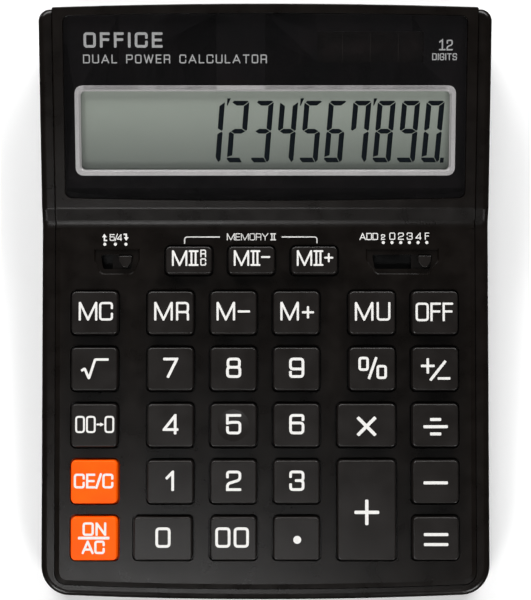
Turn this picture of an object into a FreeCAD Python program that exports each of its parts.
import FreeCAD, Part
import math
import os
import re

import Sketcher
from FreeCAD import Placement, Rotation, Vector

# A twelve-digit desk calculator, in millimetres. +Z is up, +X is the user's right and +Y points
# away from the user. The origin is under the middle of the case, on the table.
#
# Two sloping frames carry most of the pieces:
#   deck frame: x, v up the keyboard slope, w square to it; v = 0 above the origin, w = 0 on top
#   hood frame: x, v up the display slope from its front ridge, w square to it

doc = FreeCAD.newDocument("DeskCalculator")
sheet = doc.addObject("Spreadsheet::Sheet", "Sizes")

SIZES = {
    # case, seen from above and from the side
    "case_half_width": 77.5,
    "case_half_length": 101.3,
    "front_sag": 1.9,
    "back_sag": 1.3,
    "front_corner": 10.0,
    "back_corner": 4.0,
    "block_height": 50.0,
    "case_base": 1.2,
    "case_floor": 2.2,
    "case_wall": 2.4,
    "rim_side": 4.9,
    "rim_front": 3.8,
    "rim_drop": 0.9,
    "rim_depth": 5.0,
    "rim_round": 2.2,
    "seam_gap": 0.25,
    "deck_slope": 3.0,
    "deck_level": 16.88,
    "foot_y": 28.2,
    "ridge_y": 33.2,
    "ridge_rise": 2.6,
    "hood_slope": 12.5,
    "foot_round": 6.0,
    "ridge_round": 2.5,
    "cover_wall": 2.0,
    "cover_skirt": 5.0,
    "cover_corner": 4.4,
    "band_width": 1.6,
    "band_drop": 0.45,
    # screw bosses
    "boss_radius": 2.5,
    "pilot_radius": 1.35,
    "well_radius": 2.6,
    "well_boss_radius": 3.4,
    "boss_grip": 4.6,
    "boss_web": 2.0,
    # keys, in the deck frame
    "key_rise": 3.2,
    "key_travel": 1.6,
    "key_width": 15.6,
    "key_length": 14.5,
    "wide_key_width": 19.8,
    "small_key_length": 9.3,
    "tall_key_length": 34.0,
    "key_corner": 1.5,
    "key_draft": 4.1,
    "key_edge": 0.45,
    "key_gap": 0.45,
    "key_skirt_top": 2.15,
    "key_flange": 0.8,
    "key_flange_reach": 0.75,
    "key_wall": 1.2,
    "stem_radius": 2.0,
    "stem_end": 1.85,
    "dish_radius": 5.45,
    "dish_depth": 0.25,
    # key columns and rows
    "column_one": -58.8,
    "column_two": -32.65,
    "column_three": -11.0,
    "column_four": 10.65,
    "column_five": 36.7,
    "column_six": 58.35,
    "column_wide_right": 34.7,
    "column_zero": -35.2,
    "column_memory_left": -26.4,
    "column_memory_mid": -4.8,
    "column_memory_right": 16.9,
    "row_memory": 15.4,
    "row_function": -2.7,
    "row_seven": -22.05,
    "row_four": -41.4,
    "row_one": -60.75,
    "row_zero": -80.1,
    "row_plus": -70.45,
    # slide switches, in the deck frame
    "switch_row": 15.1,
    "rounding_x": -51.4,
    "decimal_x": 47.5,
    "rounding_slot": 11.4,
    "decimal_slot": 21.0,
    "slot_width": 5.0,
    "recess_margin": 2.2,
    "recess_width": 9.0,
    "recess_depth": 0.7,
    "recess_bevel": 0.45,
    "slot_taper": 0.9,
    "knob_width": 4.6,
    "knob_length": 4.0,
    "knob_top": 0.3,
    "knob_end_gap": 0.5,
    "slider_width": 9.0,
    "slider_length": 7.4,
    "slider_top": 2.2,
    "slider_thick": 0.9,
    "wiper_gap": 0.08,
    "wiper_width": 2.0,
    "wiper_thick": 0.25,
    # rubber sheet and key board, in the deck frame
    "dome_top": 1.9,
    "sheet_top": 4.8,
    "sheet_thick": 0.8,
    "dome_foot_radius": 4.4,
    "dome_head_radius": 2.3,
    "dome_wall": 0.7,
    "board_thick": 1.2,
    "board_half_width": 68.0,
    "board_front": -87.4,
    "board_back": 24.0,
    # display, in the hood frame
    "recess_front": 2.6,
    "panel_width": 138.2,
    "panel_height": 64.0,
    "panel_sag": 0.9,
    "panel_corner": 2.4,
    "panel_depth": 2.2,
    "tray_depth": 4.0,
    "tray_wall": 2.0,
    "lens_gap": 0.2,
    "lens_top": 0.25,
    "lens_bevel": 1.4,
    "lens_bevel_drop": 0.3,
    "mask_thick": 0.2,
    "frame_centre": 26.65,
    "frame_width": 131.0,
    "frame_height": 30.9,
    "frame_corner": 2.9,
    "frame_bar": 2.0,
    "frame_inner_corner": 1.4,
    "frame_thick": 1.4,
    "frame_bevel": 0.6,
    "solar_centre_x": 36.0,
    "solar_centre": 55.1,
    "solar_window_width": 36.4,
    "solar_window_height": 10.5,
    "solar_cell_width": 38.4,
    "solar_cell_height": 12.4,
    "solar_cell_thick": 1.1,
    "glass_width": 129.8,
    "glass_height": 30.4,
    "glass_ledge": 2.6,
    "glass_thick": 1.1,
    "glass_top": 4.1,
    "holder_width": 138.0,
    "holder_height": 36.0,
    "holder_depth": 7.4,
    "holder_lip": 2.6,
    "zebra_length": 118.0,
    "zebra_width": 1.8,
    "display_board_top": 8.0,
    "display_board_width": 138.0,
    "display_board_height": 40.0,
    "blob_radius": 8.0,
    "blob_height": 1.8,
    "capacitor_radius": 2.5,
    "capacitor_length": 8.0,
    # battery, feet, screws
    "battery_x": -28.0,
    "battery_y": 62.0,
    "cell_radius": 5.8,
    "cell_height": 5.4,
    "cell_gap": 0.3,
    "cup_top": 10.6,
    "cup_width": 16.0,
    "door_length": 30.0,
    "door_width": 20.0,
    "door_thick": 1.3,
    "door_gap": 0.2,
    "door_screw_offset": 11.5,
    "contact_thick": 0.25,
    "pad_radius": 5.0,
    "pad_height": 2.0,
    "pad_x": 63.0,
    "pad_front_y": -82.0,
    "pad_back_y": 80.0,
    "pad_recess": 0.8,
    "screw_radius": 1.3,
    "screw_length": 6.5,
    "screw_head_radius": 2.3,
    "screw_head": 1.6,
    "small_screw_radius": 0.95,
    "small_screw_length": 5.0,
    "small_head_radius": 1.8,
    "small_head": 1.2,
    "wire_radius": 0.45,
    "ribbon_thick": 0.3,
    "ribbon_width": 28.0,
}

for number, (alias, amount) in enumerate(SIZES.items(), start=1):
    sheet.set(f"A{number}", alias.replace("_", " "))
    sheet.set(f"B{number}", str(amount))
    sheet.setAlias(f"B{number}", alias)
doc.recompute()

WORD = re.compile(r"[a-z][a-z_]*")
nodes = []


# ---- expressions, frames and small helpers ---------------------------------------------------


def qualified(text):
    """Turn bare size names into references to the sheet."""
    return WORD.sub(lambda found: f"Sizes.{found[0]}" if found[0] in SIZES else found[0], text)


def value(text):
    """The number that an expression of size names comes to."""
    return float(sheet.evalExpression(qualified(str(text))))


def bind(item, name, text):
    item.setExpression(name, qualified(str(text)))


def node(item, label):
    """Name a finished sub-part and keep it for the export."""
    item.Label = label
    nodes.append(item)
    return item


def tilted(slope, origin, x, v, w):
    turn = Rotation(Vector(1, 0, 0), slope)
    return Placement(origin + turn.multVec(Vector(x, v, w)), turn)


def on_deck(x=0.0, v=0.0, w=0.0):
    return tilted(value("deck_slope"), Vector(0, 0, value("deck_level")), x, v, w)


RIDGE_HEIGHT = "deck_level + foot_y * tan(deck_slope * 1deg) + ridge_rise"


def on_hood(x=0.0, v=0.0, w=0.0):
    return tilted(value("hood_slope"), Vector(0, value("ridge_y"), value(RIDGE_HEIGHT)), x, v, w)


def box(name, length, width, height, place=Placement()):
    """A box centred on its own x and y, with its base at z = 0 of the placement."""
    item = doc.addObject("Part::Box", name)
    bind(item, "Length", length)
    bind(item, "Width", width)
    bind(item, "Height", height)
    shift = Placement(Vector(-value(length) / 2, -value(width) / 2, 0), Rotation())
    item.Placement = place.multiply(shift)
    return item


def cylinder(name, radius, height, place=Placement()):
    item = doc.addObject("Part::Cylinder", name)
    bind(item, "Radius", radius)
    bind(item, "Height", height)
    item.Placement = place
    return item


def cone(name, low, high, height, place=Placement()):
    item = doc.addObject("Part::Cone", name)
    bind(item, "Radius1", low)
    bind(item, "Radius2", high)
    bind(item, "Height", height)
    item.Placement = place
    return item


def at(x, y, z=0.0):
    return Placement(Vector(x, y, z), Rotation())


def fuse(name, *parts):
    item = doc.addObject("Part::MultiFuse", name)
    item.Shapes = list(parts)
    return item


def common(name, *parts):
    item = doc.addObject("Part::MultiCommon", name)
    item.Shapes = list(parts)
    return item


def cut(name, base, *tools):
    item = doc.addObject("Part::Cut", name)
    item.Base = base
    item.Tool = tools[0] if len(tools) == 1 else fuse(name + "_tools", *tools)
    return item


def group(name, *parts):
    item = doc.addObject("Part::Compound", name)
    item.Links = list(parts)
    return item


def feature(name, shape):
    """A piece whose shape is worked out here. The shape brings its own placement."""
    place = shape.Placement
    item = doc.addObject("Part::Feature", name)
    item.Shape = shape
    item.Placement = place
    return item


def extrusion(name, sketch, height, both_ways=False):
    item = doc.addObject("Part::Extrusion", name)
    item.Base = sketch
    item.DirMode = "Normal"
    item.Solid = True
    item.Symmetric = both_ways
    bind(item, "LengthFwd", height)
    return item


def new_body(name):
    return doc.addObject("PartDesign::Body", name)


def body_sketch(body, name, lift="0", role="XY_Plane"):
    sketch = body.newObject("Sketcher::SketchObject", name)
    plane = next(item for item in body.Origin.OriginFeatures if item.Role == role)
    sketch.AttachmentSupport = (plane, "")
    sketch.MapMode = "FlatFace"
    bind(sketch, "AttachmentOffset.Base.z", lift)
    return sketch


def pad(body, name, sketch, height, downwards=False, taper=None):
    item = body.newObject("PartDesign::Pad", name)
    item.Profile = sketch
    item.Reversed = downwards
    bind(item, "Length", height)
    if taper:
        bind(item, "TaperAngle", taper)
    return item


def pocket(body, name, sketch, depth, upwards=False):
    item = body.newObject("PartDesign::Pocket", name)
    item.Profile = sketch
    item.Reversed = upwards
    bind(item, "Length", depth)
    return item


# ---- sketch outlines ---------------------------------------------------------------------------


def arc(centre, radius, start, end):
    """An arc, anticlockwise from the start point to the end point."""
    first = math.atan2(start.y - centre.y, start.x - centre.x)
    last = math.atan2(end.y - centre.y, end.x - centre.x)
    return Part.ArcOfCircle(Part.Circle(centre, Vector(0, 0, 1), radius), first, last)


def join_in_turn(sketch, numbers):
    """Join each edge's end to the next one's start, smoothly."""
    for edge, following in zip(numbers, numbers[1:] + numbers[:1]):
        sketch.addConstraint(Sketcher.Constraint("Tangent", edge, 2, following, 1))


def measure(sketch, kind, *where, text):
    """Add a dimension that is bound to the sheet."""
    index = sketch.addConstraint(Sketcher.Constraint(kind, *where, value(text)))
    bind(sketch, f"Constraints[{index}]", text)


def rounded_rectangle(sketch, width, length, corner, x="0", y="0"):
    half_w, half_l, r = value(width) / 2, value(length) / 2, value(corner)
    middle = Vector(value(x), value(y), 0)

    def spot(side, end, inset_x, inset_y):
        return middle + Vector(side * (half_w - inset_x), end * (half_l - inset_y), 0)

    edges = []
    for side, end in ((1, -1), (1, 1), (-1, 1), (-1, -1)):
        on_side, on_end = spot(side, end, 0, r), spot(side, end, r, 0)
        start, stop = (on_end, on_side) if side * end < 0 else (on_side, on_end)
        edges.append(arc(spot(side, end, r, r), r, start, stop))
    lines = []
    for index, edge in enumerate(edges):
        lines.append(Part.LineSegment(edge.EndPoint, edges[(index + 1) % 4].StartPoint))
    ordered = [item for pair in zip(edges, lines) for item in pair]
    first = sketch.addGeometry(ordered[0])
    for item in ordered[1:]:
        sketch.addGeometry(item)
    join_in_turn(sketch, list(range(first, first + 8)))
    right, back, left, front = first + 1, first + 3, first + 5, first + 7
    for edge in (right, left):
        sketch.addConstraint(Sketcher.Constraint("Vertical", edge))
    for edge in (back, front):
        sketch.addConstraint(Sketcher.Constraint("Horizontal", edge))
    for edge in (first + 2, first + 4, first + 6):
        sketch.addConstraint(Sketcher.Constraint("Equal", first, edge))
    measure(sketch, "Radius", first, text=corner)
    measure(sketch, "DistanceX", -1, 1, right, 1, text=f"{x} + ({width}) / 2")
    measure(sketch, "DistanceX", -1, 1, left, 1, text=f"{x} - ({width}) / 2")
    measure(sketch, "DistanceY", -1, 1, back, 1, text=f"{y} + ({length}) / 2")
    measure(sketch, "DistanceY", -1, 1, front, 1, text=f"{y} - ({length}) / 2")


def bowed_outline(sketch, half, front, back, front_sag, back_sag, front_corner, back_corner):
    """A rectangle whose front and back edges bow outwards. front and back are the y of their
    middles, and each sag is how far the full-width ends of an edge fall short of its middle."""
    reach = value(half)

    def end_of_case(y, sag, corner, end):
        bow = (reach ** 2 + value(sag) ** 2) / (2 * value(sag))
        r = value(corner)
        middle = Vector(0, value(y) - end * bow, 0)
        rise = math.sqrt((bow - r) ** 2 - (reach - r) ** 2)
        round_centre = middle + Vector(reach - r, end * rise, 0)
        touch = middle + (round_centre - middle).normalize() * bow
        return middle, bow, round_centre, touch, r

    def mirrored(point):
        return Vector(-point.x, point.y, 0)

    mid_b, bow_b, cen_b, touch_b, r_b = end_of_case(back, back_sag, back_corner, 1)
    mid_f, bow_f, cen_f, touch_f, r_f = end_of_case(front, front_sag, front_corner, -1)
    side_b, side_f = Vector(reach, cen_b.y, 0), Vector(reach, cen_f.y, 0)
    for item in (
        Part.LineSegment(side_f, side_b),
        arc(cen_b, r_b, side_b, touch_b),
        arc(mid_b, bow_b, touch_b, mirrored(touch_b)),
        arc(mirrored(cen_b), r_b, mirrored(touch_b), mirrored(side_b)),
        Part.LineSegment(mirrored(side_b), mirrored(side_f)),
        arc(mirrored(cen_f), r_f, mirrored(side_f), mirrored(touch_f)),
        arc(mid_f, bow_f, mirrored(touch_f), touch_f),
        arc(cen_f, r_f, touch_f, side_f),
    ):
        sketch.addGeometry(item)
    join_in_turn(sketch, list(range(8)))
    for edge in (0, 4):
        sketch.addConstraint(Sketcher.Constraint("Vertical", edge))
    for edge in (2, 6):
        sketch.addConstraint(Sketcher.Constraint("PointOnObject", edge, 3, -2))
    sketch.addConstraint(Sketcher.Constraint("Equal", 1, 3))
    sketch.addConstraint(Sketcher.Constraint("Equal", 5, 7))
    bow_text = "((({0}) ^ 2 + ({1}) ^ 2) / (2 * ({1})))"
    back_bow, front_bow = bow_text.format(half, back_sag), bow_text.format(half, front_sag)
    measure(sketch, "Radius", 1, text=back_corner)
    measure(sketch, "Radius", 5, text=front_corner)
    measure(sketch, "Radius", 2, text=back_bow)
    measure(sketch, "Radius", 6, text=front_bow)
    measure(sketch, "DistanceX", -1, 1, 0, 1, text=half)
    measure(sketch, "DistanceX", -1, 1, 4, 1, text=f"-({half})")
    measure(sketch, "DistanceY", -1, 1, 2, 3, text=f"{back} - {back_bow}")
    measure(sketch, "DistanceY", -1, 1, 6, 3, text=f"{front} + {front_bow}")


def side_profile(name, drop):
    """What lies under the top line of the case, lowered by drop, as a sketch in the YZ plane."""
    sketch = doc.addObject("Sketcher::SketchObject", name)
    sketch.Placement = Placement(Vector(), Rotation(Vector(1, 1, 1), 120))
    reach = "(case_half_length + 4)"
    slope = "tan({0} * 1deg)"
    deck_text = "deck_level + ({0}) * " + slope.format("deck_slope") + f" - ({drop})"
    hood_text = f"{RIDGE_HEIGHT} + ({reach} - ridge_y) * " + slope.format("hood_slope") + f" - ({drop})"
    texts = [
        (f"-{reach}", deck_text.format(f"-{reach}")),
        ("foot_y", deck_text.format("foot_y")),
        ("ridge_y", f"{RIDGE_HEIGHT} - ({drop})"),
        (reach, hood_text),
    ]
    front, foot, ridge, back = (Vector(value(x), value(y), 0) for x, y in texts)

    def rounding(before, corner, after, radius):
        into, out = (before - corner).normalize(), (after - corner).normalize()
        half_angle = into.getAngle(out) / 2
        length = radius / math.tan(half_angle)
        centre = corner + (into + out).normalize() * (radius / math.sin(half_angle))
        return corner + into * length, corner + out * length, centre

    in_foot, out_foot, foot_centre = rounding(front, foot, ridge, value("foot_round"))
    in_ridge, out_ridge, ridge_centre = rounding(foot, ridge, back, value("ridge_round"))
    low_front, low_back = Vector(front.x, 0, 0), Vector(back.x, 0, 0)
    for item in (
        Part.LineSegment(front, in_foot),
        arc(foot_centre, value("foot_round"), in_foot, out_foot),
        Part.LineSegment(out_foot, in_ridge),
        arc(ridge_centre, value("ridge_round"), out_ridge, in_ridge),
        Part.LineSegment(out_ridge, back),
        Part.LineSegment(back, low_back),
        Part.LineSegment(low_back, low_front),
        Part.LineSegment(low_front, front),
    ):
        sketch.addGeometry(item)
    for edges in ((0, 2, 1, 1), (1, 2, 2, 1), (2, 2, 3, 2), (3, 1, 4, 1)):
        sketch.addConstraint(Sketcher.Constraint("Tangent", *edges))
    for edges in ((4, 2, 5, 1), (5, 2, 6, 1), (6, 2, 7, 1), (7, 2, 0, 1)):
        sketch.addConstraint(Sketcher.Constraint("Coincident", *edges))
    for edge in (5, 7):
        sketch.addConstraint(Sketcher.Constraint("Vertical", edge))
    sketch.addConstraint(Sketcher.Constraint("PointOnObject", 6, 1, -1))
    sketch.addConstraint(Sketcher.Constraint("PointOnObject", 6, 2, -1))
    measure(sketch, "Radius", 1, text="foot_round")
    measure(sketch, "Radius", 3, text="ridge_round")
    for corner, lines, (x, y) in ((foot, (0, 2), texts[1]), (ridge, (2, 4), texts[2])):
        point = sketch.addGeometry(Part.Point(corner), True)
        for line in lines:
            sketch.addConstraint(Sketcher.Constraint("PointOnObject", point, 1, line))
        measure(sketch, "DistanceX", -1, 1, point, 1, text=x)
        measure(sketch, "DistanceY", -1, 1, point, 1, text=y)
    for edge, end, (x, y) in ((0, 1, texts[0]), (4, 2, texts[3])):
        measure(sketch, "DistanceX", -1, 1, edge, end, text=x)
        measure(sketch, "DistanceY", -1, 1, edge, end, text=y)
    return sketch


def under_top(name, drop):
    """The space under the case's top line, lowered by drop, over the full width."""
    return extrusion(name, side_profile(name + "_profile", drop), "2 * case_half_width + 20", True)


def plan_block(name, insets, corners, floor):
    """An upright block over the case's plan, drawn in from its sides, front and back."""
    side, front, back = insets
    sketch = doc.addObject("Sketcher::SketchObject", name + "_plan")
    bind(sketch, "Placement.Base.z", floor)
    narrowing = f"(1 - ({side}) / case_half_width) ^ 2"
    bowed_outline(
        sketch,
        f"case_half_width - ({side})",
        f"-case_half_length + ({front})",
        f"case_half_length - ({back})",
        f"front_sag * {narrowing}",
        f"back_sag * {narrowing}",
        *corners,
    )
    return extrusion(name, sketch, "block_height")


# ---- more shape helpers ------------------------------------------------------------------------


def circle(sketch, radius, x="0", y="0"):
    centre = Vector(value(x), value(y), 0)
    index = sketch.addGeometry(Part.Circle(centre, Vector(0, 0, 1), value(radius)))
    measure(sketch, "Radius", index, text=radius)
    measure(sketch, "DistanceX", -1, 1, index, 3, text=x)
    measure(sketch, "DistanceY", -1, 1, index, 3, text=y)


def edges_where(shape, test):
    """The numbers of the edges whose middle and two faces pass the test."""
    found = []
    for number, edge in enumerate(shape.Edges, start=1):
        middle = edge.valueAt((edge.FirstParameter + edge.LastParameter) / 2)
        if test(middle, edge, shape.ancestorsOfType(edge, Part.Face)):
            found.append(number)
    return found


def rounded(name, base, radius, test):
    """Round the edges of base that pass the test."""
    doc.recompute()
    item = doc.addObject("Part::Fillet", name)
    item.Base = base
    item.Edges = [(number, radius, radius) for number in edges_where(base.Shape, test)]
    return item


def rounded_prism(width, length, corner, low, high, place):
    """An upright rounded block between two heights, as a plain shape for cutting."""
    block = Part.makeBox(width, length, high - low, Vector(-width / 2, -length / 2, low))
    upright = [edge for edge in block.Edges if abs(edge.tangentAt(edge.FirstParameter).z) > 0.9]
    block = block.makeFillet(corner, upright)
    block.Placement = place
    return block


def strip(points, thickness, width, place):
    """A bent strip: the line through (y, z) points, given a thickness and a width along x."""
    line = [Vector(0, y, z) for y, z in points]
    ways = [(after - before).normalize() for before, after in zip(line, line[1:])]
    sides = [Vector(0, -way.z, way.y) for way in ways]
    mitres = [sides[0]]
    for one, other in zip(sides, sides[1:]):
        both = (one + other).normalize()
        mitres.append(both * (1 / both.dot(one)))
    mitres.append(sides[-1])
    half = thickness / 2
    upper = [point + mitre * half for point, mitre in zip(line, mitres)]
    lower = [point - mitre * half for point, mitre in zip(line, mitres)]
    face = Part.Face(Part.makePolygon(upper + lower[::-1] + upper[:1]))
    face.translate(Vector(-width / 2, 0, 0))
    solid = face.extrude(Vector(width, 0, 0))
    solid.Placement = place
    return solid


def wire_tube(points, radius):
    """A round wire along straight runs joined by arcs as large as the runs allow."""
    edges = []
    start = points[0]
    for before, corner, after in zip(points, points[1:], points[2:]):
        into, out = before - corner, after - corner
        shorter = 0.45 * min(into.Length, out.Length)
        near = corner + into.normalize() * shorter
        far = corner + out.normalize() * shorter
        bend = shorter * math.tan(into.getAngle(out) / 2)
        middle = (into + out).normalize()
        centre = corner + middle * math.hypot(shorter, bend)
        edges.append(Part.LineSegment(start, near).toShape())
        edges.append(Part.Arc(near, centre - middle * bend, far).toShape())
        start = far
    edges.append(Part.LineSegment(start, points[-1]).toShape())
    spine = Part.Wire(edges)
    ring = Part.Wire(Part.makeCircle(radius, points[0], points[1] - points[0]))
    tube = spine.makePipeShell([ring], True, True)
    volume = math.pi * radius ** 2 * spine.Length
    if abs(tube.Volume / volume - 1) > 0.01:
        raise RuntimeError("a wire's volume is not its section times its length")
    return tube


# ---- where the fasteners are -------------------------------------------------------------------

FRONT_BOSSES = [(-50.0, -91.3), (50.0, -91.3)]
MIDDLE_BOSSES = [(-45.7, -31.1), (23.7, -12.0)]
REAR_BOSSES = [(-60.0, 93.2), (60.0, 93.2)]
REAR_JOINT = 16.0
BOARD_SCREWS = [(-45.7, -12.4), (-45.7, -51.0), (47.5, -51.0), (47.5, -12.4)]
HOLDER_SCREWS = [(-67.0, -14.0), (-67.0, 14.0), (67.0, -14.0), (67.0, 14.0)]


def deck_underside(y):
    return value("deck_level") + y * math.tan(math.radians(value("deck_slope"))) - value("cover_wall")


CASE_SCREWS = [(x, y, deck_underside(y) - value("boss_grip")) for x, y in FRONT_BOSSES + MIDDLE_BOSSES]
CASE_SCREWS += [(x, y, REAR_JOINT) for x, y in REAR_BOSSES]

# ---- the keys ----------------------------------------------------------------------------------

STANDARD = ("key_width", "key_length")
SMALL = ("key_width", "small_key_length")
WIDE = ("wide_key_width", "key_length")
TALL = ("wide_key_width", "tall_key_length")

KEYS = {
    "key_memory2_recall_clear": ("column_memory_left", "row_memory", SMALL),
    "key_memory2_minus": ("column_memory_mid", "row_memory", SMALL),
    "key_memory2_plus": ("column_memory_right", "row_memory", SMALL),
    "key_memory_clear": ("column_one", "row_function", STANDARD),
    "key_memory_recall": ("column_two", "row_function", STANDARD),
    "key_memory_minus": ("column_three", "row_function", STANDARD),
    "key_memory_plus": ("column_four", "row_function", STANDARD),
    "key_markup": ("column_five", "row_function", STANDARD),
    "key_off": ("column_six", "row_function", STANDARD),
    "key_square_root": ("column_one", "row_seven", STANDARD),
    "key_7": ("column_two", "row_seven", STANDARD),
    "key_8": ("column_three", "row_seven", STANDARD),
    "key_9": ("column_four", "row_seven", STANDARD),
    "key_percent": ("column_five", "row_seven", STANDARD),
    "key_sign_change": ("column_six", "row_seven", STANDARD),
    "key_backspace": ("column_one", "row_four", STANDARD),
    "key_4": ("column_two", "row_four", STANDARD),
    "key_5": ("column_three", "row_four", STANDARD),
    "key_6": ("column_four", "row_four", STANDARD),
    "key_multiply": ("column_wide_right", "row_four", WIDE),
    "key_divide": ("column_six", "row_four", STANDARD),
    "key_clear_entry": ("column_one", "row_one", STANDARD),
    "key_1": ("column_two", "row_one", STANDARD),
    "key_2": ("column_three", "row_one", STANDARD),
    "key_3": ("column_four", "row_one", STANDARD),
    "key_plus": ("column_wide_right", "row_plus", TALL),
    "key_minus": ("column_six", "row_one", STANDARD),
    "key_all_clear": ("column_one", "row_zero", STANDARD),
    "key_0": ("column_zero", "row_zero", WIDE),
    "key_00": ("column_three", "row_zero", STANDARD),
    "key_decimal_point": ("column_four", "row_zero", STANDARD),
    "key_equals": ("column_six", "row_zero", STANDARD),
}

# how much wider a key is where it passes under the cover than at its top
SPREAD = "2 * (key_rise + key_skirt_top) * tan(key_draft * 1deg)"


def bind_to_deck(item, column, row):
    bind(item, "Placement.Base.x", column)
    bind(item, "Placement.Base.y", f"({row}) * cos(deck_slope * 1deg)")
    bind(item, "Placement.Base.z", f"deck_level + ({row}) * sin(deck_slope * 1deg)")


def make_key(label, column, row, size):
    """A hollow keycap with a flange under the cover and a stem over its rubber dome."""
    width, length = size
    body = new_body(label)
    foot = body_sketch(body, label + "_foot", "-key_skirt_top")
    rounded_rectangle(foot, f"{width} + {SPREAD}", f"{length} + {SPREAD}", "key_corner + 0.4")
    cap = pad(body, label + "_cap", foot, "key_rise + key_skirt_top", taper="-key_draft")
    doc.recompute()
    top = value("key_rise")

    def on_top(middle, edge, faces):
        return abs(middle.z - top) < 0.01

    softened = body.newObject("PartDesign::Fillet", label + "_edges")
    softened.Base = (cap, [f"Edge{number}" for number in edges_where(cap.Shape, on_top)])
    bind(softened, "Radius", "key_edge")
    rim = body_sketch(body, label + "_rim", "-key_skirt_top")
    reach = f"{SPREAD} + 2 * key_flange_reach"
    rounded_rectangle(rim, f"{width} + {reach}", f"{length} + {reach}", "key_corner + 0.6")
    pad(body, label + "_flange", rim, "key_flange", downwards=True)
    hollow = body_sketch(body, label + "_hollow", "-key_skirt_top - key_flange")
    inside = "- 2 * key_wall"
    rounded_rectangle(hollow, f"{width} {inside}", f"{length} {inside}", "key_corner - 0.4")
    pocket(body, label + "_inside", hollow, "key_rise + key_skirt_top + key_flange - key_wall", True)
    post = body_sketch(body, label + "_post", "-stem_end")
    circle(post, "stem_radius")
    body.Tip = pad(body, label + "_stem", post, "stem_end + key_rise - key_wall / 2")
    body.Placement.Rotation = Rotation(Vector(1, 0, 0), value("deck_slope"))
    bind_to_deck(body, column, row)
    return body


def dished(key, column, row):
    """Sink a shallow finger dish into the top of a key."""
    ball = doc.addObject("Part::Sphere", "dish")
    reach = "(dish_radius ^ 2 + dish_depth ^ 2) / (2 * dish_depth)"
    bind(ball, "Radius", reach)
    height = value("key_rise") - value("dish_depth") + value(reach)
    ball.Placement = on_deck(value(column), value(row), height)
    return cut("key_5_dished", key, ball)


for label, (column, row, key_size) in KEYS.items():
    key = make_key(label + "_body", column, row, key_size)
    if label == "key_5":
        key = dished(key, column, row)
    node(key, label)
doc.recompute()

# ---- upper cover -------------------------------------------------------------------------------

HALF_COVER = value("case_half_width") - value("rim_side")
SPLIT_Y = value("foot_y") - 1.6
REACH = 2 * value("case_half_length")
TOP = value("block_height")


def span(name, y_low, y_high, z_low, z_high):
    """A full-width box between two y and two z values, for keeping or cutting a stretch."""
    item = box(name, "3 * case_half_width", str(y_high - y_low), str(z_high - z_low))
    item.Placement = item.Placement.multiply(at(0, (y_low + y_high) / 2, z_low))
    return item


def upward(faces):
    return sorted(abs(face.normalAt(0, 0).z) for face in faces)


def cover_plan(name, extra):
    """The cover's plan, drawn in by extra all round. At the back it reaches the case's outline."""
    insets = (f"rim_side + {extra}", f"rim_front + {extra}", extra)
    corner = f"max(cover_corner - {extra}; 0.8)"
    return plan_block(name, insets, (corner, "0.6"), "0")


def deck_slab():
    """The raised deck, whose bevelled side and front edges leave a band along the seam."""
    lean = math.cos(math.radians(value("deck_slope")))
    sketch = doc.addObject("Sketcher::SketchObject", "deck_slab_outline")
    sketch.Placement = on_deck(0, 0, -value("band_drop") * lean)
    bowed_outline(
        sketch,
        "case_half_width - rim_side",
        "(rim_front - case_half_length) / cos(deck_slope * 1deg)",
        "foot_y + 10",
        "front_sag * (1 - rim_side / case_half_width) ^ 2",
        "back_sag",
        "cover_corner",
        "cover_corner",
    )
    slab = extrusion("deck_slab", sketch, "band_drop * cos(deck_slope * 1deg)")
    bind(slab, "TaperAngle", "-atan(band_width / band_drop) / 1deg")
    return common("deck_raised", slab, span("slab_span", -REACH, SPLIT_Y, 0, TOP))


deck_low = common("deck_low", cover_plan("deck_plan", "0"), under_top("deck_top", "band_drop"),
                  span("deck_span", -REACH, SPLIT_Y, 0, TOP))
hood_half = common("hood_half", cover_plan("hood_plan", "0"), under_top("hood_top", "0"),
                   span("hood_span", SPLIT_Y, REACH, 0, TOP))


def hood_edge(middle, edge, faces):
    flat = upward(faces)
    outer = abs(abs(middle.x) - HALF_COVER) < 0.7 or middle.y > value("case_half_length") - 2
    return outer and flat[0] < 0.1 and flat[1] > 0.8 and middle.z > 12


HOOD_EDGE = 0.4
soft_hood = rounded("soft_hood", hood_half, HOOD_EDGE, hood_edge)
block = fuse("cover_block", deck_low, deck_slab(), soft_hood)

BACK_PARTING = 14.0
inner = common("cover_inner", cover_plan("cover_inner_plan", "cover_wall"),
               under_top("cover_inner_top", "cover_wall"))
back_wall_y = value("case_half_length") - value("cover_wall") - 2.0
skirt_limit = common("skirt_limit", under_top("skirt_top", "cover_skirt"),
                     span("skirt_span", -REACH, back_wall_y, -1, TOP))
back_limit = span("back_limit", back_wall_y, REACH, -1, BACK_PARTING + value("seam_gap"))
shell = cut("cover_shell", block, inner, skirt_limit, back_limit)


def panel_sketch(name, grow, place):
    """The panel's outline: straight sides, and front and back edges that bow with the case."""
    sketch = doc.addObject("Sketcher::SketchObject", name)
    sketch.Placement = place
    panel_outline(sketch, grow)
    return sketch


def panel_outline(sketch, grow):
    bowed_outline(
        sketch,
        f"panel_width / 2 + {grow}",
        f"-panel_height / 2 - {grow}",
        f"panel_height / 2 + {grow}",
        "panel_sag",
        "panel_sag",
        f"panel_corner + {grow}",
        f"panel_corner + {grow}",
    )


PANEL_MIDDLE = value("recess_front") + value("panel_height") / 2
tray = extrusion("tray", panel_sketch("tray_outline", "tray_wall", on_hood(0, PANEL_MIDDLE, -value("tray_depth"))),
                 "tray_depth - 0.5")
recess = extrusion("recess", panel_sketch("recess_outline", "0", on_hood(0, PANEL_MIDDLE, -value("panel_depth"))),
                   "panel_depth + 2")

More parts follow.
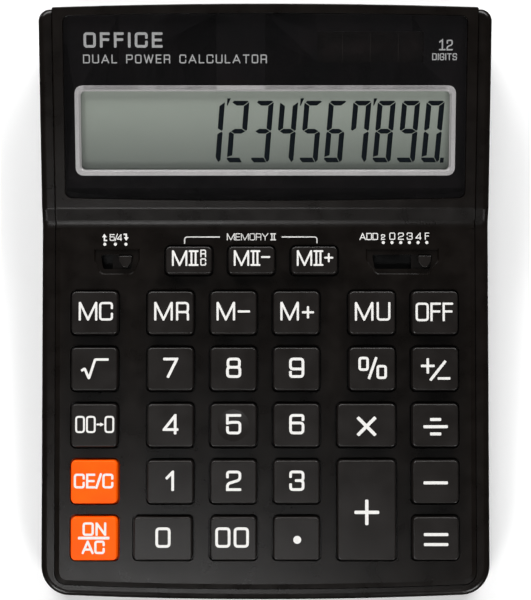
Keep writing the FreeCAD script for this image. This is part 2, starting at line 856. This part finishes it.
FRAME_MIDDLE = value("frame_centre")
lcd_seat = feature("lcd_seat", rounded_prism(
    value("frame_width"), value("frame_height"), value("frame_corner"),
    -value("panel_depth") - value("frame_thick") + value("mask_thick"), 0, on_hood(0, FRAME_MIDDLE)))
lcd_window = feature("lcd_window", rounded_prism(
    value("frame_width") - 2 * value("frame_bar"), value("frame_height") - 2 * value("frame_bar"),
    value("frame_inner_corner"), -6, 0, on_hood(0, FRAME_MIDDLE)))
solar_window = feature("solar_window", rounded_prism(
    value("solar_window_width"), value("solar_window_height"), 0.4, -6, 0,
    on_hood(value("solar_centre_x"), value("solar_centre"))))

key_openings = []
for column, row, (width, length) in KEYS.values():
    spread = value(SPREAD) + 2 * value("key_gap")
    key_openings.append(rounded_prism(value(width) + spread, value(length) + spread,
                                      value("key_corner") + 0.6, -3, 1, on_deck(value(column), value(row))))
openings = feature("key_openings", Part.makeCompound(key_openings))

SWITCHES = {
    "rounding": ("rounding_x", "rounding_slot"),
    "decimal": ("decimal_x", "decimal_slot"),
}


def boat_outline(half, deep, height):
    """The recess's outline at one height: straight at the back, drawn in and rounded in front."""
    outline = [Vector(-half, deep, 0), Vector(-half, 0.1 * deep, 0), Vector(-0.72 * half, -deep, 0),
               Vector(0.72 * half, -deep, 0), Vector(half, 0.1 * deep, 0), Vector(half, deep, 0)]
    solid = Part.Face(Part.makePolygon(outline + outline[:1])).extrude(Vector(0, 0, 1))
    upright = [edge for edge in solid.Edges if abs(edge.tangentAt(edge.FirstParameter).z) > 0.9]
    corners = [edge for edge in upright if edge.Vertexes[0].Point.y < deep - 0.1]
    foot = min(solid.makeFillet(1.9, corners).Faces, key=lambda face: face.CenterOfMass.z)
    wire = foot.OuterWire
    wire.translate(Vector(0, 0, height))
    return wire


def boat(centre, slot):
    """The bevelled finger recess round a switch."""
    half = value(slot) / 2 + value("recess_margin")
    deep = value("recess_width") / 2
    depth, bevel = value("recess_depth"), value("recess_bevel")
    wires = [boat_outline(half - bevel, deep - bevel, 0), boat_outline(half + bevel, deep + bevel, 2 * depth)]
    solid = Part.makeLoft(wires, True, True)
    solid.Placement = on_deck(value(centre), value("switch_row"), -depth)
    return solid


def switch_slot(slot, place):
    """The opening a knob slides in, a little narrower in front."""
    half, deep, taper = value(slot) / 2, value("slot_width") / 2, value("slot_taper")
    outline = [Vector(-half, deep, 0), Vector(taper - half, -deep, 0),
               Vector(half - taper, -deep, 0), Vector(half, deep, 0)]
    solid = Part.Face(Part.makePolygon(outline + outline[:1])).extrude(Vector(0, 0, 4))
    upright = [edge for edge in solid.Edges if abs(edge.tangentAt(edge.FirstParameter).z) > 0.9]
    solid = solid.makeFillet(0.8, upright)
    solid.Placement = place
    return solid


switch_cuts = []
for centre, slot in SWITCHES.values():
    switch_cuts.append(boat(centre, slot))
    switch_cuts.append(switch_slot(slot, on_deck(value(centre), value("switch_row"), -3)))
switch_openings = feature("switch_openings", Part.makeCompound(switch_cuts))

cover_bosses, pilot_holes = [], []
for index, (x, y, joint) in enumerate(CASE_SCREWS):
    slope_top = deck_underside(y) + value("cover_wall") / 2
    if y > value("ridge_y"):
        slope_top = on_hood(0, y - value("ridge_y"), -value("tray_depth") + 0.6).Base.z
    cover_bosses.append(cylinder(f"boss_{index}", "boss_radius", str(slope_top - joint), at(x, y, joint)))
    pilot_holes.append(cylinder(f"pilot_{index}", "pilot_radius", "boss_grip + 0.2", at(x, y, joint - 0.1)))
for index, (x, v) in enumerate(BOARD_SCREWS):
    down = on_deck(x, v, -value("sheet_top") - value("sheet_thick"))
    cover_bosses.append(cylinder(f"board_boss_{index}", "small_screw_radius + 0.7", "sheet_top", down))
    pilot_holes.append(cylinder(f"board_pilot_{index}", "small_screw_radius + 0.04", "3.8", down))

cover_body = fuse("cover_with_bosses", shell, tray, *cover_bosses)
node(cut("cover_cut", cover_body, recess, lcd_seat, lcd_window, solar_window, openings,
         switch_openings, *pilot_holes), "upper_cover")

# ---- lower case --------------------------------------------------------------------------------

case_outer = common("case_outer", plan_block("case_plan", ("0", "0", "0"), ("front_corner", "back_corner"),
                                             "case_base"), under_top("rim_top", "rim_drop"))


def case_shoulder(middle, edge, faces):
    flat = upward(faces)
    return flat[0] < 0.1 and flat[1] > 0.8 and middle.z > 5


def case_underside(middle, edge, faces):
    return abs(middle.z - value("case_base")) < 0.01


UNDER_EDGE = 1.2
round_top = rounded("case_shoulders", case_outer, value("rim_round"), case_shoulder)
round_case = rounded("case_edges", round_top, UNDER_EDGE, case_underside)

floor_top = "case_base + case_floor"
rim_gap = "(rim_side - seam_gap)"
well = plan_block("case_well", (rim_gap, "rim_front - seam_gap", "case_wall"), ("cover_corner", "0.8"), floor_top)
hollow = common("case_hollow", under_top("ledge_line", "rim_drop + rim_depth"),
                plan_block("case_hollow_plan", ("case_wall", "case_wall", "case_wall"),
                           ("front_corner - case_wall", "back_corner - case_wall"), floor_top))
rear_door = box("rear_opening", f"2 * (case_half_width - {rim_gap})", "30", "40")
rear_door.Placement = rear_door.Placement.multiply(at(0, value("case_half_length"), BACK_PARTING))

case_bosses, case_cuts = [], []
for index, (x, y, joint) in enumerate(CASE_SCREWS):
    floor = value("case_base") + 1
    web = joint - value("boss_web")
    case_bosses.append(cylinder(f"post_{index}", "well_boss_radius", str(joint - floor), at(x, y, floor)))
    case_cuts.append(cylinder(f"shank_{index}", "pilot_radius", "boss_web + 1", at(x, y, web - 0.5)))
    case_cuts.append(cylinder(f"well_{index}", "well_radius", str(web), at(x, y)))

BATTERY = Vector(value("battery_x"), value("battery_y"), value("case_base"))
DOOR_X = BATTERY.x + 3.5
SCREW_X = BATTERY.x + value("door_screw_offset")
BORE = value("cell_radius") + value("cell_gap")
CUP_CEILING = value("cup_top") - 1.4
DOOR_RECESS = value("door_thick") + 0.05
door_post_top = 9.0
case_bosses.append(box("battery_cup", "cup_width", "cup_width", f"cup_top - ({floor_top}) + 0.5",
                       at(BATTERY.x, BATTERY.y, value(floor_top) - 0.5)))
case_bosses.append(cylinder("door_post", "small_head_radius + 2", str(door_post_top - value(floor_top) + 0.5),
                            at(SCREW_X, BATTERY.y, value(floor_top) - 0.5)))
case_cuts.append(feature("door_recess", rounded_prism(
    value("door_length") + 2 * value("door_gap"), value("door_width") + 2 * value("door_gap"), 2.0,
    -1, DOOR_RECESS, at(DOOR_X, BATTERY.y, BATTERY.z))))
case_cuts.append(cylinder("cell_bore", str(BORE), str(CUP_CEILING - BATTERY.z), at(*BATTERY)))
LEG_X = BATTERY.x + BORE + 0.3
leg_height = value("cup_top") - BATTERY.z + 1
case_cuts.append(box("leg_slot", "0.8", "3.6", str(leg_height - 1.8), at(LEG_X, BATTERY.y, BATTERY.z + 1.8)))
case_cuts.append(box("tab_slot", "0.8", "3.0", "4", at(BATTERY.x - 1, BATTERY.y, CUP_CEILING - 1)))
case_cuts.append(cylinder("door_collar", "small_head_radius + 1", "2.3", at(SCREW_X, BATTERY.y, BATTERY.z)))
case_cuts.append(cylinder("door_pilot", "small_screw_radius + 0.04", "5.4", at(SCREW_X, BATTERY.y, BATTERY.z + 2)))

PADS = [(side * value("pad_x"), y) for side in (-1, 1) for y in (value("pad_front_y"), value("pad_back_y"))]
for index, (x, y) in enumerate(PADS):
    case_cuts.append(cylinder(f"pad_seat_{index}", "pad_radius + 0.1", "pad_recess + 1",
                              at(x, y, value("case_base") - 1)))

case_tub = cut("case_tub", round_case, well, hollow, rear_door)
node(cut("case_cut", fuse("case_with_bosses", case_tub, *case_bosses), *case_cuts), "lower_case")
doc.recompute()

# ---- display stack, in the hood frame ----------------------------------------------------------

lens = new_body("display_lens_body")
lens_low = body_sketch(lens, "lens_outline")
LENS_PLACE = on_hood(0, PANEL_MIDDLE, -value("panel_depth") + value("mask_thick"))
panel_outline(lens_low, "-lens_gap")
LENS_THICK = "(panel_depth - mask_thick - lens_top)"
pad(lens, "lens_plate", lens_low, f"{LENS_THICK} - lens_bevel_drop")
lens_high = body_sketch(lens, "lens_bevel_outline", f"{LENS_THICK} - lens_bevel_drop")
panel_outline(lens_high, "-lens_gap")
lens.Tip = pad(lens, "lens_bevel", lens_high, "lens_bevel_drop",
               taper="-atan(lens_bevel / lens_bevel_drop) / 1deg")
lens.Placement = LENS_PLACE
node(lens, "display_lens")

mask = new_body("display_mask_body")
mask_sheet = body_sketch(mask, "mask_outline")
panel_outline(mask_sheet, "-lens_gap")
FROM_PANEL = f"frame_centre - {PANEL_MIDDLE}"
rounded_rectangle(mask_sheet, "frame_width + 0.1", "frame_height + 0.1", "frame_corner", "0", FROM_PANEL)
rounded_rectangle(mask_sheet, "solar_window_width", "solar_window_height", "0.4",
                  "solar_centre_x", f"solar_centre - {PANEL_MIDDLE}")
mask.Tip = pad(mask, "mask_film", mask_sheet, "mask_thick")
mask.Placement = on_hood(0, PANEL_MIDDLE, -value("panel_depth"))
node(mask, "display_mask")

bezel = new_body("lcd_frame_body")
ring = body_sketch(bezel, "frame_outline")
rounded_rectangle(ring, "frame_width - 0.1", "frame_height - 0.1", "frame_corner")
rounded_rectangle(ring, "frame_width - 2 * frame_bar", "frame_height - 2 * frame_bar", "frame_inner_corner")
ring_pad = pad(bezel, "frame_ring", ring, "frame_thick")
doc.recompute()


def inner_top_edge(middle, edge, faces):
    inside_x = abs(middle.x) < value("frame_width") / 2 - value("frame_bar") + 0.1
    inside_y = abs(middle.y) < value("frame_height") / 2 - value("frame_bar") + 0.1
    return inside_x and inside_y and abs(middle.z - value("frame_thick")) < 0.01


frame_bevel = bezel.newObject("PartDesign::Chamfer", "frame_bevel_cut")
frame_bevel.Base = (ring_pad, [f"Edge{number}" for number in edges_where(ring_pad.Shape, inner_top_edge)])
bind(frame_bevel, "Size", "frame_bevel")
bezel.Tip = frame_bevel
FRAME_BASE = value("mask_thick") - value("panel_depth") - value("frame_thick")
bezel.Placement = on_hood(0, FRAME_MIDDLE, FRAME_BASE)
node(bezel, "lcd_frame")

front_glass = box("front_glass", "glass_width", "glass_height", "glass_thick",
                  on_hood(0, FRAME_MIDDLE, -value("glass_top") - value("glass_thick")))
rear_glass = box("rear_glass", "glass_width", "glass_height - glass_ledge", "glass_thick",
                 on_hood(0, FRAME_MIDDLE + value("glass_ledge") / 2, -value("glass_top") - 2 * value("glass_thick")))
node(fuse("lcd_cell", front_glass, rear_glass), "lcd_glass")

holder = new_body("lcd_holder_body")
holder_plan = body_sketch(holder, "holder_outline")
rounded_rectangle(holder_plan, "holder_width", "holder_height", "1")
pad(holder, "holder_block", holder_plan, "holder_depth - tray_depth")
holder_lip_z = "holder_depth - glass_top - 2 * glass_thick - 0.05"
seat_plan = body_sketch(holder, "holder_seat_outline", holder_lip_z)
rounded_rectangle(seat_plan, "glass_width + 0.2", "glass_height + 0.2", "0.3")
pocket(holder, "holder_seat", seat_plan, "5", upwards=True)
lip_plan = body_sketch(holder, "holder_lip_outline", "2")
rounded_rectangle(lip_plan, "glass_width - 2 * holder_lip", "glass_height - 2 * holder_lip", "0.5")
pocket(holder, "holder_window", lip_plan, "3")
slot_plan = body_sketch(holder, "zebra_slot_outline", "2")
rounded_rectangle(slot_plan, "zebra_length + 0.4", "holder_lip + 1", "0.3", "0",
                  "-glass_height / 2 + holder_lip / 2 + 0.3")
pocket(holder, "zebra_slot", slot_plan, "3")
screw_plan = body_sketch(holder, "holder_screw_holes", "0")
for x, v in HOLDER_SCREWS:
    circle(screw_plan, "small_screw_radius + 0.04", str(x), str(v))
holder.Tip = pocket(holder, "holder_pilots", screw_plan, "2.9", upwards=True)
holder.Placement = on_hood(0, FRAME_MIDDLE, -value("holder_depth"))
node(holder, "lcd_holder")

ZEBRA_HEIGHT = "holder_depth - glass_top - glass_thick"
node(box("zebra_block", "zebra_length", "zebra_width", ZEBRA_HEIGHT,
         on_hood(0, FRAME_MIDDLE - value("glass_height") / 2 + value("glass_ledge") / 2, -value("holder_depth"))),
     "zebra_strip")

BOARD_UNDER = -value("holder_depth") - value("board_thick")
display_board = new_body("display_board_body")
display_plan = body_sketch(display_board, "display_board_outline")
rounded_rectangle(display_plan, "display_board_width", "display_board_height", "1.5")
for x, v in HOLDER_SCREWS:
    circle(display_plan, "small_screw_radius + 0.1", str(x), str(v))
display_board.Tip = pad(display_board, "display_laminate", display_plan, "board_thick")
display_board.Placement = on_hood(0, FRAME_MIDDLE, BOARD_UNDER)
node(display_board, "display_board")

blob_ball = "(blob_radius ^ 2 + blob_height ^ 2) / (2 * blob_height)"
blob = doc.addObject("Part::Sphere", "blob_ball")
bind(blob, "Radius", blob_ball)
BLOB_X, BLOB_V = 12.0, 25.0
blob.Placement = on_hood(BLOB_X, BLOB_V, BOARD_UNDER - value("blob_height") + value(blob_ball))
blob_space = cylinder("blob_space", "blob_radius + 1", "blob_height + 1",
                      on_hood(BLOB_X, BLOB_V, BOARD_UNDER - value("blob_height") - 1))
node(common("blob_cap", blob, blob_space), "chip_blob")

lying = Rotation(Vector(0, 1, 0), 90)
can_place = on_hood(30, 36, BOARD_UNDER - value("capacitor_radius"))
can = cylinder("capacitor_can", "capacitor_radius", "capacitor_length", can_place.multiply(Placement(Vector(), lying)))
node(can, "buffer_capacitor")

CELL_BACK = -value("tray_depth") - value("solar_cell_thick")
node(box("solar_block", "solar_cell_width", "solar_cell_height", "solar_cell_thick",
         on_hood(value("solar_centre_x"), value("solar_centre"), CELL_BACK)), "solar_cell")


def hood_points(x, places):
    return [on_hood(x, v, w).Base for v, w in places]


solar_route = [(57.0, CELL_BACK), (57.0, -8.5), (51.5, -12.5), (45.2, -12.5), (45.2, BOARD_UNDER)]
solar_leads = [wire_tube(hood_points(x, solar_route), value("wire_radius")) for x in (30.0, 42.0)]
node(feature("solar_leads", Part.makeCompound(solar_leads)), "solar_wires")

# ---- keyboard stack, in the deck frame ---------------------------------------------------------

BOARD_TOP = -value("sheet_top") - value("sheet_thick")
BOARD_MIDDLE = (value("board_front") + value("board_back")) / 2
boss_holes = [(x, y / math.cos(math.radians(value("deck_slope"))), value("well_boss_radius") + 0.4)
              for x, y in MIDDLE_BOSSES]


def through_holes(prefix, radius_at_screws):
    """Holes that clear the cover's bosses and the board screws, from sheet top to board back."""
    holes = []
    for index, (x, v, radius) in enumerate(boss_holes):
        holes.append(cylinder(f"{prefix}_boss_hole_{index}", str(radius), "6", on_deck(x, v, BOARD_TOP - 3)))
    for index, (x, v) in enumerate(BOARD_SCREWS):
        holes.append(cylinder(f"{prefix}_screw_hole_{index}", radius_at_screws, "6", on_deck(x, v, BOARD_TOP - 3)))
    return holes


laminate = box("key_laminate", "2 * board_half_width", "board_back - board_front", "board_thick",
               on_deck(0, BOARD_MIDDLE, BOARD_TOP - value("board_thick")))
node(cut("key_laminate_cut", laminate, *through_holes("board", "small_screw_radius + 0.1")), "key_board")

SHEET_BACK = value("row_memory") + 5.2
SHEET_FRONT = value("board_front") + 0.6
mat = box("rubber_mat", "2 * board_half_width - 3", str(SHEET_BACK - SHEET_FRONT), "sheet_thick",
          on_deck(0, (SHEET_BACK + SHEET_FRONT) / 2, BOARD_TOP))
domes, hollows = [], []
dome_height = "sheet_top - dome_top"
for label, (column, row, key_size) in KEYS.items():
    place = on_deck(value(column), value(row), -value("sheet_top"))
    below = on_deck(value(column), value(row), BOARD_TOP)
    domes.append(cone("dome_" + label, "dome_foot_radius", "dome_head_radius", dome_height, place))
    hollows.append(cone("hollow_" + label, "dome_foot_radius - dome_wall", "dome_head_radius - dome_wall",
                        "sheet_top + sheet_thick - dome_top - 2 * dome_wall", below))
switch_gaps = []
for name, (centre, slot) in SWITCHES.items():
    switch_gaps.append(box(f"{name}_mat_gap", f"{slot} + 12", "12", "6",
                           on_deck(value(centre), value("switch_row") + 2, BOARD_TOP - 1)))
node(cut("rubber_cut", fuse("rubber_domes", mat, *domes), *hollows, *switch_gaps,
         *through_holes("mat", "small_screw_radius + 0.9")), "dome_sheet")

hood_end, deck_end = on_hood(0, 13, BOARD_UNDER - 0.16).Base, on_deck(0, 17, BOARD_TOP - 1.36).Base
hood_turn, deck_turn = on_hood(0, 5, BOARD_UNDER - 0.6).Base, on_deck(0, 25.5, BOARD_TOP - 1.6).Base
ribbon_line = [(point.y, point.z) for point in (deck_end, deck_turn, hood_turn, hood_end)]
node(feature("ribbon", strip(ribbon_line, value("ribbon_thick"), value("ribbon_width"), at(-20, 0))), "flat_cable")

# ---- slide switches ----------------------------------------------------------------------------


def shield(width, length, height, place):
    """A knob top: square at the back, drawn in and rounded towards the user."""
    half, back = width / 2, length / 2
    outline = [Vector(-half, back, 0), Vector(-0.92 * half, 0, 0), Vector(-0.3 * half, -back, 0),
               Vector(0.3 * half, -back, 0), Vector(0.92 * half, 0, 0), Vector(half, back, 0)]
    solid = Part.Face(Part.makePolygon(outline + outline[:1])).extrude(Vector(0, 0, height))
    upright = [edge for edge in solid.Edges if abs(edge.tangentAt(edge.FirstParameter).z) > 0.9]
    sides = [edge for edge in upright if edge.Vertexes[0].Point.y < back - 0.1]
    solid = solid.makeFillet(0.5, sides)
    crown = [edge for edge in solid.Edges if min(vertex.Point.z for vertex in edge.Vertexes) > height - 0.01]
    solid = solid.makeFillet(0.25, crown)
    solid.Placement = place
    return solid


for name, (centre, slot) in SWITCHES.items():
    rest_x = value(centre) + value(slot) / 2 - value("knob_width") / 2 - value("knob_end_gap")
    row = value("switch_row")
    base = value("slider_top")
    top = feature(name + "_knob_top", shield(value("knob_width"), value("knob_length"),
                                             value("knob_top") + base + 0.2, on_deck(rest_x, row, -base - 0.2)))
    slider = box(name + "_slider", "slider_width", "slider_length", "slider_thick",
                 on_deck(rest_x, row, -base - value("slider_thick")))
    node(fuse(name + "_knob_body", top, slider), name + "_switch_knob")
    under, board = -base - value("slider_thick"), BOARD_TOP + value("wiper_gap") + value("wiper_thick") / 2
    spring = [(-3.0, under - 0.13), (-0.4, under - 0.13), (0.9, board), (2.4, board), (3.2, board + 0.9)]
    node(feature(name + "_wiper_strip", strip(spring, value("wiper_thick"), value("wiper_width"),
                                              on_deck(rest_x, row))), name + "_switch_wiper")

# ---- battery -----------------------------------------------------------------------------------

CELL_BASE = value("case_base") + value("door_thick") + 0.1
cell_can = cylinder("cell_can", "cell_radius", "cell_height - 0.6", at(BATTERY.x, BATTERY.y, CELL_BASE + 0.6))
cell_cap = cylinder("cell_cap", "cell_radius - 1", "0.6", at(BATTERY.x, BATTERY.y, CELL_BASE))
node(fuse("cell_whole", cell_can, cell_cap), "battery_cell")

cell_top = CELL_BASE + value("cell_height")
tab_top = value("cup_top") + 0.3
disc = cylinder("contact_disc", "cell_radius - 2.2", "contact_thick", at(BATTERY.x, BATTERY.y, cell_top + 0.05))
tab = box("contact_tab", "0.4", "2.4", str(tab_top - cell_top - 0.1), at(BATTERY.x - 1, BATTERY.y, cell_top + 0.1))
leg = box("contact_leg", "0.4", "3", str(tab_top - CELL_BASE - 1.0), at(LEG_X, BATTERY.y, CELL_BASE + 1.0))
node(group("contacts", fuse("contact_plate", disc, tab), leg), "battery_contacts")

door = new_body("battery_door_body")
door_plan = body_sketch(door, "door_outline")
rounded_rectangle(door_plan, "door_length", "door_width", "1.8")
pad(door, "door_plate", door_plan, "door_thick")
OFFSET = f"door_screw_offset - {DOOR_X - BATTERY.x}"
collar_plan = body_sketch(door, "door_collar_outline", "door_thick - 0.4")
circle(collar_plan, "small_head_radius + 0.8", OFFSET)
pad(door, "door_collar_ring", collar_plan, "1.3")
head_plan = body_sketch(door, "door_head_outline")
circle(head_plan, "small_head_radius + 0.1", OFFSET)
pocket(door, "door_head_seat", head_plan, "small_head", upwards=True)
hole_plan = body_sketch(door, "door_hole_outline")
circle(hole_plan, "small_screw_radius + 0.1", OFFSET)
pocket(door, "door_hole", hole_plan, "4", upwards=True)
grip_plan = body_sketch(door, "door_grip_outline")
for groove in range(4):
    rounded_rectangle(grip_plan, "0.8", "9", "0.3", str(-9.0 + 1.8 * groove))
door.Tip = pocket(door, "door_grip", grip_plan, "0.4", upwards=True)
door.Placement = at(DOOR_X, BATTERY.y, BATTERY.z)
node(door, "battery_door")

battery_leads = []
for x, lean in ((BATTERY.x - 1, -2.0), (LEG_X, 2.0)):
    rising = [Vector(x, BATTERY.y, tab_top), Vector(x, BATTERY.y, tab_top + 2.2)]
    landing = hood_points(x + lean, [(21.0, BOARD_UNDER - 2.4), (21.0, BOARD_UNDER)])
    battery_leads.append(wire_tube(rising + landing, value("wire_radius")))
node(feature("battery_leads", Part.makeCompound(battery_leads)), "battery_wires")

# ---- feet and screws ---------------------------------------------------------------------------

FOOT_EDGE = 0.5
feet = []
for index, (x, y) in enumerate(PADS):
    low = cone(f"foot_low_{index}", f"pad_radius - {FOOT_EDGE}", "pad_radius", str(FOOT_EDGE), at(x, y))
    high = cylinder(f"foot_high_{index}", "pad_radius", f"pad_height - {FOOT_EDGE}", at(x, y, FOOT_EDGE))
    feet.append(fuse(f"foot_{index}", low, high))
node(group("feet", *feet), "rubber_feet")


def screw(name, sizes, place):
    """A cross-recess screw. Its placement is the underside of the head, shank along +z."""
    head_radius, head, radius, length = sizes
    top = cylinder(name + "_head", head_radius, head, place.multiply(at(0, 0, -value(head))))
    shank = cylinder(name + "_shank", radius, length, place)
    bars = []
    for turn in (0, 90):
        spin = Placement(Vector(0, 0, -value(head) - 1), Rotation(Vector(0, 0, 1), turn))
        bars.append(box(f"{name}_cross_{turn}", f"1.3 * {head_radius}", "0.4", f"1 + 0.6 * {head}",
                        place.multiply(spin)))
    return cut(name, fuse(name + "_blank", top, shank), *bars)


LARGE_SCREW = ("screw_head_radius", "screw_head", "screw_radius", "screw_length")
SMALL_SCREW = ("small_head_radius", "small_head", "small_screw_radius", "small_screw_length")
case_set = [screw(f"case_screw_{index}", LARGE_SCREW, at(x, y, joint - value("boss_web")))
            for index, (x, y, joint) in enumerate(CASE_SCREWS)]
node(group("case_screw_set", *case_set), "case_screws")

BOARD_SCREW = ("small_head_radius", "small_head", "small_screw_radius", "small_screw_length - 0.6")
board_set = [screw(f"board_screw_{index}", BOARD_SCREW, on_deck(x, v, BOARD_TOP - value("board_thick")))
             for index, (x, v) in enumerate(BOARD_SCREWS)]
HOLDER_SCREW = ("small_head_radius", "small_head", "small_screw_radius", "small_screw_length - 1.2")
board_set += [screw(f"holder_screw_{index}", HOLDER_SCREW, on_hood(x, FRAME_MIDDLE + v, BOARD_UNDER))
              for index, (x, v) in enumerate(HOLDER_SCREWS)]
node(group("board_screw_set", *board_set), "board_screws")
node(screw("door_screw", SMALL_SCREW, at(SCREW_X, BATTERY.y, BATTERY.z + value("small_head"))), "battery_door_screw")

# ---- check everything, then write the files ----------------------------------------------------

doc.recompute()
for item in doc.Objects:
    if "Invalid" in item.State or "Error" in item.State:
        raise RuntimeError(f"{item.Name} failed: {item.State}")
for item in nodes:
    if item.Shape.isNull() or not item.Shape.isValid():
        raise RuntimeError(f"{item.Label} has no valid shape")
if len(nodes) != len({item.Label for item in nodes}):
    raise RuntimeError("two sub-parts share a name")

os.makedirs("parts", exist_ok=True)
for item in nodes:
    item.Shape.exportStep(f"parts/{item.Label}.step")
print(len(nodes), "sub-parts written")
